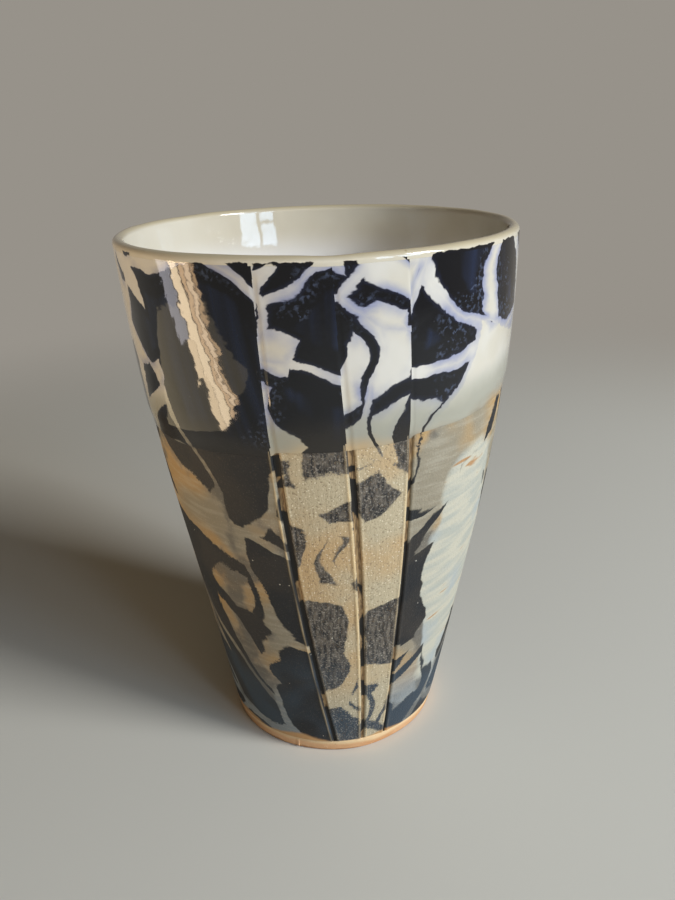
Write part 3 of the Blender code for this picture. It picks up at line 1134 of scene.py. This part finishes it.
milk = add(tree, RANGE, {0: cloud, 1: 0.35, 2: 0.7})
bleed = add(tree, RANGE, {0: depth, 1: -2.4, 2: 0.4})
some = add(tree, RANGE, {0: cloud, 1: 0.38, 2: 0.62, 4: 0.85})
bleed = add(tree, MATH, {0: bleed, 1: some})
thin = add(tree, RANGE, {0: uneven, 1: 94.0, 2: 87.0, 4: 0.92})
thinnest = add(tree, RANGE, {0: uneven, 1: 86.0, 2: 82.0})
clay = bare_ground(tree, place, near, panel)
ground = add(tree, MIX, {0: milk, 6: "#D3CFC5", 7: "#C9C2B1"})
for mask, tone in ((bleed, "#7F88AD"), (thin, "#A19F90"), (thinnest, clay)):
    ground = add(tree, MIX, {0: mask, 6: ground, 7: tone})
print(decorated.name, len(tree.nodes), "nodes so far, for its ground")

# %% The dark slip under the glaze
brushed = stretched(tree, place, (4.0, 60.0, 1.0))
inward = add(tree, RANGE, {0: depth, 1: 1.0, 2: 5.0})
bloom = add(tree, MATH, {0: inward, 1: brushed})
bloom = add(tree, RANGE, {0: bloom, 1: 0.35, 2: 0.75})
fringe = add(tree, RANGE, {0: depth, 1: 0.8, 2: 0.0})
fine = add(tree, NOISE, {"Vector": near, "Scale": 1 / 0.8, "Detail": 3.0})
scratched = add(tree, RANGE, {0: fine, 1: 0.45, 2: 0.75})
inner = add(tree, RANGE, {0: depth, 1: 0.5, 2: 0.8})
outer = add(tree, RANGE, {0: depth, 1: 2.2, 2: 1.7})
band = add(tree, MATH, {0: inner, 1: outer})
patchy = add(tree, RANGE, {0: cloud, 1: 0.5, 2: 0.62, 4: 0.8})
scratched = add(tree, MATH, {0: scratched, 1: band})
scratched = add(tree, MATH, {0: scratched, 1: patchy})
crawled = add(tree, RANGE, {0: fine, 1: 0.54, 2: 0.64})
cluster = add(tree, RANGE, {0: cloud, 1: 0.57, 2: 0.66, 4: 0.7})
crawled = add(tree, MATH, {0: crawled, 1: cluster})
scratched = add(tree, MATH, {0: scratched, 1: crawled}, operation="MAXIMUM")
burnt = add(tree, RANGE, {0: uneven, 1: 91.0, 2: 82.0})
pinholes = specks(tree, near, 2.2, 0.16, 0.3)
pinholes = add(tree, MATH, {0: pinholes, 1: patchy})
dark = add(tree, MIX, {0: bloom, 6: "#090B11", 7: "#1A243A"})
for mask, tone in (
    (fringe, "#161B2C"),
    (scratched, "#4C566C"),
    (burnt, "#2B2824"),
    (pinholes, "#9FA3AE"),
):
    dark = add(tree, MIX, {0: mask, 6: dark, 7: tone})
print(decorated.name, len(tree.nodes), "nodes so far, with its dark slip")

# %% Slip and ground together, and the peel
under = add(tree, RANGE, {0: depth, 1: -0.14, 2: 0.14})
tone = add(tree, MIX, {0: under, 6: ground, 7: dark})
peel = add(tree, NOISE, {"Vector": near, "Scale": 1 / 4.6, "Detail": 2.4, "Roughness": 0.45})
finish_material(decorated, tone, peel, 0.066 * MM)

# %% [markdown]
# ## Cream glaze
# Milky liner glaze on stoneware, glossy and a little warm. It gives the eye a wet, even cream that
# breaks to tan where it runs thin over the lip, and that tan band is also darkened as painted shade.
# Lower down, the inner wall is painted lighter and cooler as a painted reflection, and the glaze
# pools at the floor. Subsurface light would be the true cause of the milkiness, but under glaze this
# thin a tint by height looks the same. Under the lip's outer edge the dark slip still shows, ragged
# where the sponge wiped it off.

# %% Cream glaze
milky, tree = new_material("milky_liner_glaze", 0.05, 1.52)
place = flat_place(tree)
near = object_place(tree)
height = add(tree, SPLIT, {0: near}).outputs[2]
cloud = add(tree, NOISE, {"Vector": near, "Scale": 1 / 22, "Detail": 3.0})
milk = add(tree, RANGE, {0: cloud, 1: 0.3, 2: 0.7})
# The lip's top band is tan where the glaze runs thin, and is darkened further as painted shade.
thin_lip_and_painted_shade = add(tree, RANGE, {0: height, 1: 116.8, 2: 117.7})
# Below the lip the inner wall is painted lighter and cooler: a painted reflection.
painted_inner_reflection = add(tree, RANGE, {0: height, 1: 113.0, 2: 103.0})
pooled = add(tree, RANGE, {0: height, 1: 9.0, 2: 4.0})
pinholes = specks(tree, near, 5.0, 0.3, 0.25)
ground = add(tree, MIX, {0: milk, 6: "#D3CCBA", 7: "#C8BFAA"})
for mask, tone in (
    (thin_lip_and_painted_shade, "#B9AD90"),
    (painted_inner_reflection, "#E9E8E5"),
    (pooled, "#D2CDBE"),
    (pinholes, "#A8987A"),
):
    ground = add(tree, MIX, {0: mask, 6: ground, 7: tone})
print(milky.name, len(tree.nodes), "nodes so far, for its ground")

# %% The slip under the lip's outer edge
flat = add(tree, VECTOR, {0: near, 1: (1.0, 1.0, 0.0)}, operation="MULTIPLY")
radius = add(tree, VECTOR, {0: flat}, operation="LENGTH")
outside = add(tree, RANGE, {0: radius, 1: 40.8, 2: 41.0})
ragged = add(tree, NOISE, {"Vector": near, "Scale": 1 / 1.6, "Detail": 3.0})
edge = add(tree, MATH, {0: ragged, 1: -0.9, 2: height}, operation="MULTIPLY_ADD")
under = add(tree, RANGE, {0: edge, 1: 116.5, 2: 116.35})
under = add(tree, MATH, {0: under, 1: outside})
depth = slip_design(tree, place, pale_panels(tree, place, near))
slipped = add(tree, RANGE, {0: depth, 1: -0.14, 2: 0.14})
slipped = add(tree, MATH, {0: slipped, 1: under})
tone = add(tree, MIX, {0: slipped, 6: ground, 7: "#0B0C14"})
peel = add(tree, NOISE, {"Vector": near, "Scale": 1 / 4.5, "Detail": 1.0})
finish_material(milky, tone, peel, 0.06 * MM)

# %% [markdown]
# ## Slip-painted stoneware
# Bare stoneware painted with slip: dry and dull, and it scatters light evenly. The dark slip gives
# the eye charcoal patches, dragged upwards on the narrow slabs and blue towards the foot. The buff
# clay beside it has grog, coarse fired sand, whose grains show as pale specks that are also painted
# glints, and a few poke through the slip. The pits of its grain are painted darker as painted shade,
# and the ridges beside the seams are painted lighter, partly worn slip and partly painted highlight.
# One material serves all three slabs, since the flat map tells it where the strips are.

# %% Slip-painted stoneware
painted, tree = new_material("slip_painted_stoneware", 0.72)
place = flat_place(tree)
near = object_place(tree)
panel = pale_panels(tree, place, near)
depth = slip_design(tree, place, panel)
ground = bare_ground(tree, place, near, panel)
height = add(tree, SPLIT, {0: place}).outputs[1]
on_strip = on_strips(tree, place)
cloud = add(tree, NOISE, {"Vector": near, "Scale": 1 / 14, "Detail": 4.0})
tint = add(tree, NOISE, {"Vector": near, "Scale": 1 / 19, "Detail": 2.0, "Distortion": 0.6})
drag = stretched(tree, place, (0.7, 3.4, 1.0), 0.08, 5.0)
grain = add(tree, NOISE, {"Vector": near, "Scale": 1 / 0.45, "Detail": 3.0, "Roughness": 0.6})

worn = add(tree, RANGE, {0: cloud, 1: 0.42, 2: 0.6})
dragged = add(tree, RANGE, {0: drag, 1: 0.36, 2: 0.7})
dragged = add(tree, MATH, {0: dragged, 1: on_strip})
at_foot = add(tree, RANGE, {0: height, 1: 36.0, 2: 16.0})
blue = add(tree, RANGE, {0: tint, 1: 0.35, 2: 0.6})
blue = add(tree, MATH, {0: blue, 1: at_foot})
gritty = add(tree, RANGE, {0: grain, 1: 0.52, 2: 0.66, 4: 0.55})
gritty = add(tree, MATH, {0: gritty, 1: on_strip})
dark = add(tree, MIX, {0: worn, 6: "#191B1E", 7: "#2A2724"})
for mask, tone in ((dragged, "#6C6459"), (blue, "#323F4A"), (gritty, "#A0978A")):
    dark = add(tree, MIX, {0: mask, 6: dark, 7: tone})
print(painted.name, len(tree.nodes), "nodes so far, for its slip and its ground")

# %% Where the slip covers the clay
off = add(tree, MATH, {0: grain, 1: 0.5}, operation="SUBTRACT")
dry = add(tree, RANGE, {0: tint, 1: 0.44, 2: 0.62, 3: 0.4, 4: 2.6})
broken = add(tree, MATH, {0: off, 1: dry, 2: depth}, operation="MULTIPLY_ADD")
covered = add(tree, RANGE, {0: broken, 1: -0.15, 2: 0.35})
surface = add(tree, MIX, {0: covered, 6: ground, 7: dark})
print(painted.name, len(tree.nodes), "nodes so far, with the slip on the clay")

# %% Grog and painted glints, painted shade in pits, worn and highlighted ridges, the clay's tooth
share = add(tree, MATH, {0: on_strip, 1: 0.6, 2: 0.12}, operation="MULTIPLY_ADD")
shown = add(tree, MATH, {0: covered, 1: -0.75, 2: 1.0}, operation="MULTIPLY_ADD")
shown = add(tree, MATH, {0: shown, 1: share})
# Real grog is 0.1 to 0.3 mm, less than a pixel here, so its grains are drawn 0.34 mm wide.
# The pale specks are lighter grains, and they also stand in for glints: partly painted highlights.
grog_and_painted_glints = specks(tree, near, 0.55, 0.17, 0.5)
grog_and_painted_glints = add(tree, MATH, {0: grog_and_painted_glints, 1: shown})
# Grains showing through the slip, partly painted glints.
poking_grains_and_painted_glints = specks(tree, near, 2.6, 0.2, 0.35)
poking_grains_and_painted_glints = add(tree, MATH, {0: poking_grains_and_painted_glints, 1: covered})
# The low spots of the grain are painted darker: painted shade in the pits.
painted_pit_shade = add(tree, RANGE, {0: grain, 1: 0.44, 2: 0.3})
painted_pit_shade = add(tree, MATH, {0: painted_pit_shade, 1: share})
off = add(tree, MATH, {0: cloud, 1: 0.5}, operation="SUBTRACT")
ragged = add(tree, MATH, {0: off, 1: 7.0, 2: height}, operation="MULTIPLY_ADD")
wiped = add(tree, RANGE, {0: ragged, 1: 4.4, 2: 3.4})
# Ridge tops are painted lighter: partly bare clay where the slip wore off, partly a painted
# highlight.
ridge = add(tree, "ShaderNodeAttribute", attribute_name="ridge")
ridge_wear_and_painted_highlight = add(tree, RANGE, {0: ridge.outputs["Fac"], 1: 0.07, 2: 0.26})
bare_share = add(tree, MATH, {0: covered, 1: -0.55, 2: 0.85}, operation="MULTIPLY_ADD")
ridge_wear_and_painted_highlight = add(tree, MATH, {0: ridge_wear_and_painted_highlight, 1: bare_share})
for mask, tone in (
    (grog_and_painted_glints, "#EADFC2"),
    (poking_grains_and_painted_glints, "#BDB8AB"),
    (painted_pit_shade, "#6B5941"),
    (wiped, "#C39663"),
    (ridge_wear_and_painted_highlight, "#E6CD9E"),
):
    surface = add(tree, MIX, {0: mask, 6: surface, 7: tone})
tooth = add(tree, MATH, {0: drag, 1: on_strip, 2: grain}, operation="MULTIPLY_ADD")
finish_material(painted, surface, tooth, 0.14 * MM)

# %% [markdown]
# ## Joining slip
# Wiped slip in the seams: the buff clay without its grog, dragged lengthways by the finger. It
# gives the eye a fine sandy line, and turns black where the brush crossed the seam. It could take
# the colour of the clay beside it, but then the seams would vanish in the dark patches, so it is
# darker and lies under the wall's face.

# %% Joining slip
slip, tree = new_material("wiped_joining_slip", 0.7)
place = flat_place(tree)
near = object_place(tree)
depth = slip_design(tree, place, pale_panels(tree, place, near))
drag = stretched(tree, near, (0.35, 0.35, 4.0))
streaks = add(tree, RANGE, {0: drag, 1: 0.35, 2: 0.65})
pale = add(tree, MIX, {0: streaks, 6: "#6F573B", 7: "#A88B62"})
crossed = add(tree, RANGE, {0: depth, 1: -0.7, 2: -0.3})
tone = add(tree, MIX, {0: crossed, 6: pale, 7: "#15120F"})
grain = add(tree, NOISE, {"Vector": near, "Scale": 1 / 0.5, "Detail": 2.0})
finish_material(slip, tone, grain, 0.1 * MM)

# %% [markdown]
# ## Toasted stoneware
# Bare stoneware that never saw slip or glaze, toasted in the kiln. It gives the eye a dry, warm
# orange with lighter grains, a few iron specks and a fine tooth. It is paler where slip washed over
# its upper edge and darker along its bottom edge. A flat colour would do from afar, but the
# foot is seen close up, so clouds and grains are mixed in at their real sizes.

# %% Toasted stoneware
toasted, tree = new_material("toasted_stoneware", 0.86)
near = object_place(tree)
cloud = add(tree, NOISE, {"Vector": near, "Scale": 1 / 9, "Detail": 4.0})
grain = add(tree, NOISE, {"Vector": near, "Scale": 1 / 0.5, "Detail": 3.0})
height = add(tree, SPLIT, {0: near}).outputs[2]
flame = add(tree, RANGE, {0: cloud, 1: 0.32, 2: 0.7})
off = add(tree, MATH, {0: cloud, 1: 0.5}, operation="SUBTRACT")
level = add(tree, MATH, {0: off, 1: 3.0, 2: height}, operation="MULTIPLY_ADD")
washed = add(tree, RANGE, {0: level, 1: 1.5, 2: 2.9})
# Darker along the bottom edge, within a millimetre of the floor.
darker_bottom_edge = add(tree, RANGE, {0: level, 1: 0.7, 2: 0.1})
grains = add(tree, RANGE, {0: grain, 1: 0.6, 2: 0.8})
iron = specks(tree, near, 2.6, 0.12, 0.25)
clay = add(tree, MIX, {0: flame, 6: "#DDB083", 7: "#CB9564"})
for mask, tone in (
    (washed, "#E3C497"),
    (darker_bottom_edge, "#A97448"),
    (grains, "#E8C8A0"),
    (iron, "#5A3A22"),
):
    clay = add(tree, MIX, {0: mask, 6: clay, 7: tone})
finish_material(toasted, clay, grain, 0.1 * MM)

# %% [markdown]
# ## Dressing the cup
# Each finer piece rides on the imported body, stands for the node it replaces and takes its
# material. The coil inside the floor corner keeps its imported shape, since its
# form is right and the liner covers it, but it still gets real clay.

# %% Dressing the cup
dressed = [
    (base, "base_slab", "bare_clay", toasted),
    (ring, "base_joint_slip", "joining_slip", slip),
    (wall_wrap, "wall_wrap", "slip_painted_clay", painted),
    (wall_strip_left, "wall_strip_left", "buff_clay", painted),
    (wall_strip_right, "wall_strip_right", "buff_clay", painted),
    (liner, "liner_glaze", "cream_glaze", milky),
    (outer_glaze, "outer_glaze", "decorated_glaze", decorated),
]
for seam, piece in seam_slips.items():
    dressed.append((piece, "seam_slip_" + seam, "joining_slip", slip))

for piece, node, slot, material in dressed:
    piece.data.materials.clear()
    piece.data.materials.append(material)
    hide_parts(node)
    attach(piece, "root")

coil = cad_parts["floor_coil"]
coil.data.materials.clear()
coil.data.materials.append(toasted)
print("dressed pieces:", len(dressed), "and the packed coil")

# %% [markdown]
# ## Floor and light
# A pale, matt floor that runs off into a plain grey distance. The distance is a fixed tone that
# only the camera and the reflections see, so the lamps needn't light it and the cup's shadow stays.
#
# Soft daylight comes from the right. Two tall panes at the front right show as a pair in the wet
# glaze inside the lip, and a soft card over the front fills the shade. Narrow strips lie low on the
# left and draw the long, streaked reflection down the shaded glaze. A dim warm field round their
# near end browns the glaze beside it.

# %% Floor
DISTANT = "#97928A"
FADE = (0.2, 0.45)  # metres from the cup, where the floor runs off into the distance


def in_sight(tree):
    """1 for the camera and for reflections, 0 for light on its way to the floor or the cup."""
    ray = add(tree, "ShaderNodeLightPath")
    return add(tree, MATH, {0: ray, 1: ray.outputs["Is Glossy Ray"]}, operation="MAXIMUM")


deselect()
bpy.ops.mesh.primitive_plane_add(size=16.0, location=(0, 0, 0))
floor = new_piece("floor")
floor_paint, tree = new_material("matt_floor_paint", 0.9)
shader = tree.nodes["Principled BSDF"]
feed(tree, shader.inputs["Base Color"], "#D1D0C7")
place = add(tree, "ShaderNodeTexCoord")
away = add(tree, VECTOR, {0: place.outputs["Object"]}, operation="LENGTH")
far = add(tree, RANGE, {0: away, 1: FADE[0], 2: FADE[1]})
share = add(tree, MATH, {0: far, 1: in_sight(tree)})
distance = add(tree, "ShaderNodeEmission", {"Color": DISTANT})
mixed = add(tree, "ShaderNodeMixShader", {0: share, 1: shader, 2: distance})
feed(tree, tree.nodes["Material Output"].inputs["Surface"], mixed)
floor.data.materials.append(floor_paint)
print(floor_paint.name, len(tree.nodes), "nodes")

# %% World
world = bpy.data.worlds.new("plain_grey_room")
bpy.context.scene.world = world
world.use_nodes = True
tree = world.node_tree
room = tree.nodes["Background"]
feed(tree, room.inputs["Color"], "#FFE0B8")
feed(tree, room.inputs["Strength"], 0.055)
distance = add(tree, "ShaderNodeBackground", {"Color": DISTANT})
mixed = add(tree, "ShaderNodeMixShader", {0: in_sight(tree), 1: room, 2: distance})
feed(tree, tree.nodes["World Output"].inputs["Surface"], mixed)
print(world.name, len(tree.nodes), "nodes")


# %% Lamps
def light_box(name, place, target, width, height, brightness, tone):
    """A rectangular soft light at one place that faces another. Its brightness is what a mirror
    would show of it, where 1 is white."""
    lamp = bpy.data.lights.new(name, "AREA")
    lamp.shape = "RECTANGLE"
    lamp.size = width
    lamp.size_y = height
    lamp.color = colour(tone)[:3]
    lamp.energy = brightness * math.pi * width * height
    box = bpy.data.objects.new(name, lamp)
    box.location = place
    box.rotation_euler = (Vector(place) - Vector(target)).to_track_quat("Z", "Y").to_euler()
    box.visible_camera = False
    bpy.context.scene.collection.objects.link(box)
    print(name, round(lamp.energy, 3), "W")


def from_cup(azimuth, elevation, distance):
    """A place seen from the cup's rim in this direction, in degrees."""
    flat = on_turn(azimuth, distance * math.cos(math.radians(elevation)), HEIGHT)
    return flat + Vector((0, 0, distance * math.sin(math.radians(elevation))))


RIM = (0, 0, HEIGHT)
LAMPS = (  # azimuth, elevation and distance in metres, then width, height, brightness and tone
    ("daylight", (63, 28, 1.2), 0.33, 0.42, 29.0, "#FFFFFF"),
    ("pane_near", (35, 14, 0.8), 0.13, 0.30, 9.5, "#C6E2FF"),
    ("pane_far", (49.5, 14, 0.8), 0.19, 0.30, 9.5, "#C6E2FF"),
    ("front_card", (10, 26, 0.9), 0.9, 0.35, 1.1, "#FFE4C4"),
)
for name, direction, *settings in LAMPS:
    light_box(name, from_cup(*direction), RIM, *settings)

# %% The low strips
STRIP_START = -0.15  # metres along x, as the end
STRIP_END = -0.72
STRIP_HEIGHT = 0.003
STRIP_PIECES = 8
STRIP_TIP = 0.045  # the width at the start, and what it gains for each metre from there
STRIP_SPREAD = 0.5
STRIP_LINE = -0.108  # metres along y, the middle of the width
STRIP_BANDS = (  # from and to, as shares of the width, then brightness and tone
    (0.0, 0.09, 7.0, "#FFD3A0"),
    (0.12, 0.25, 11.5, "#FFDEB6"),
    (0.27, 0.4, 9.0, "#FFD6A6"),
    (0.43, 0.66, 12.5, "#FFE4BC"),
)
COOL_BAND = (0.69, 1.0, 5.0, "#D0CDD4")  # the last band, but for the pieces near the cup
WARM_BAND = (0.67, 0.88, 10.5, "#FFE2B8")  # the last band of those
WARM_PIECES = 2
FIELD = ((-0.28, -0.06, 0.002), 0.25, 0.25, 0.85, "#F6E0B4")  # its place first


def face_up(name, place, *settings):
    """A light box that faces up. A hair of tilt settles which way its width lies."""
    light_box(name, place, (place[0], place[1] + 0.0001, 1.0), *settings)


for piece in range(STRIP_PIECES):
    near_end = between(STRIP_START, STRIP_END, piece / STRIP_PIECES)
    far_end = between(STRIP_START, STRIP_END, (piece + 1) / STRIP_PIECES)
    middle = (near_end + far_end) / 2
    width = STRIP_TIP + STRIP_SPREAD * (STRIP_START - middle)
    last_band = WARM_BAND if piece < WARM_PIECES else COOL_BAND
    for band, (start, end, brightness, tone) in enumerate((*STRIP_BANDS, last_band)):
        place = (middle, STRIP_LINE + width * ((start + end) / 2 - 0.5), STRIP_HEIGHT)
        size = (near_end - far_end, width * (end - start))
        face_up("low_strip_" + str(piece) + "_" + str(band), place, *size, brightness, tone)
face_up("low_field", *FIELD)

# %% [markdown]
# ## The end
# The view transform is set to Standard.

bpy.context.scene.view_settings.view_transform = "Standard"
